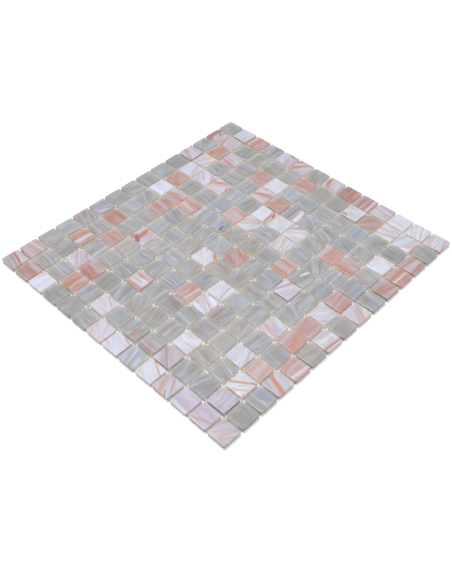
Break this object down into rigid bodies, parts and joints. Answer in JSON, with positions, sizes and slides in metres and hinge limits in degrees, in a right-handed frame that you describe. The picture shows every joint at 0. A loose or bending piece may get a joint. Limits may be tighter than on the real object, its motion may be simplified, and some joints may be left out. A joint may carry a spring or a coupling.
{
  "type": "mosaic tile sheet",
  "caption": "Sheet of small square pressed-glass mosaic tiles in grey, pink and white, set in straight rows on a mesh backing for gluing to a wall or floor.",
  "frame": {"origin": "on the floor under the middle of the sheet", "axes": "+X along a row of tiles, the sheet's longer side; +Y across the rows, from the last row to the first; +Z out of the tiles' faces"},
  "size_m": [0.3252, 0.3034, 0.0045],
  "materials": {
    "grey_glass": "gloss",
    "pink_glass": "gloss",
    "white_glass": "gloss",
    "backing_net": "matte"
  },
  "bodies": {
    "root": {"net_cross_threads": "backing_net", "net_long_threads": "backing_net", "row_01_grey_tiles": "grey_glass", "row_01_pink_tiles": "pink_glass", "row_01_white_tiles": "white_glass", "row_02_grey_tiles": "grey_glass", "row_02_pink_tiles": "pink_glass", "row_02_white_tiles": "white_glass", "row_03_grey_tiles": "grey_glass", "row_03_pink_tiles": "pink_glass", "row_03_white_tiles": "white_glass", "row_04_grey_tiles": "grey_glass", "row_04_pink_tiles": "pink_glass", "row_04_white_tiles": "white_glass", "row_05_grey_tiles": "grey_glass", "row_05_pink_tiles": "pink_glass", "row_05_white_tiles": "white_glass", "row_06_grey_tiles": "grey_glass", "row_06_pink_tiles": "pink_glass", "row_06_white_tiles": "white_glass", "row_07_grey_tiles": "grey_glass", "row_07_pink_tiles": "pink_glass", "row_07_white_tiles": "white_glass", "row_08_grey_tiles": "grey_glass", "row_08_pink_tiles": "pink_glass", "row_08_white_tiles": "white_glass", "row_09_grey_tiles": "grey_glass", "row_09_pink_tiles": "pink_glass", "row_09_white_tiles": "white_glass", "row_10_grey_tiles": "grey_glass", "row_10_pink_tiles": "pink_glass", "row_10_white_tiles": "white_glass", "row_11_grey_tiles": "grey_glass", "row_11_pink_tiles": "pink_glass", "row_11_white_tiles": "white_glass", "row_12_grey_tiles": "grey_glass", "row_12_pink_tiles": "pink_glass", "row_12_white_tiles": "white_glass", "row_13_grey_tiles": "grey_glass", "row_13_pink_tiles": "pink_glass", "row_13_white_tiles": "white_glass", "row_14_grey_tiles": "grey_glass", "row_14_pink_tiles": "pink_glass", "row_14_white_tiles": "white_glass"}
  },
  "joints": []
}
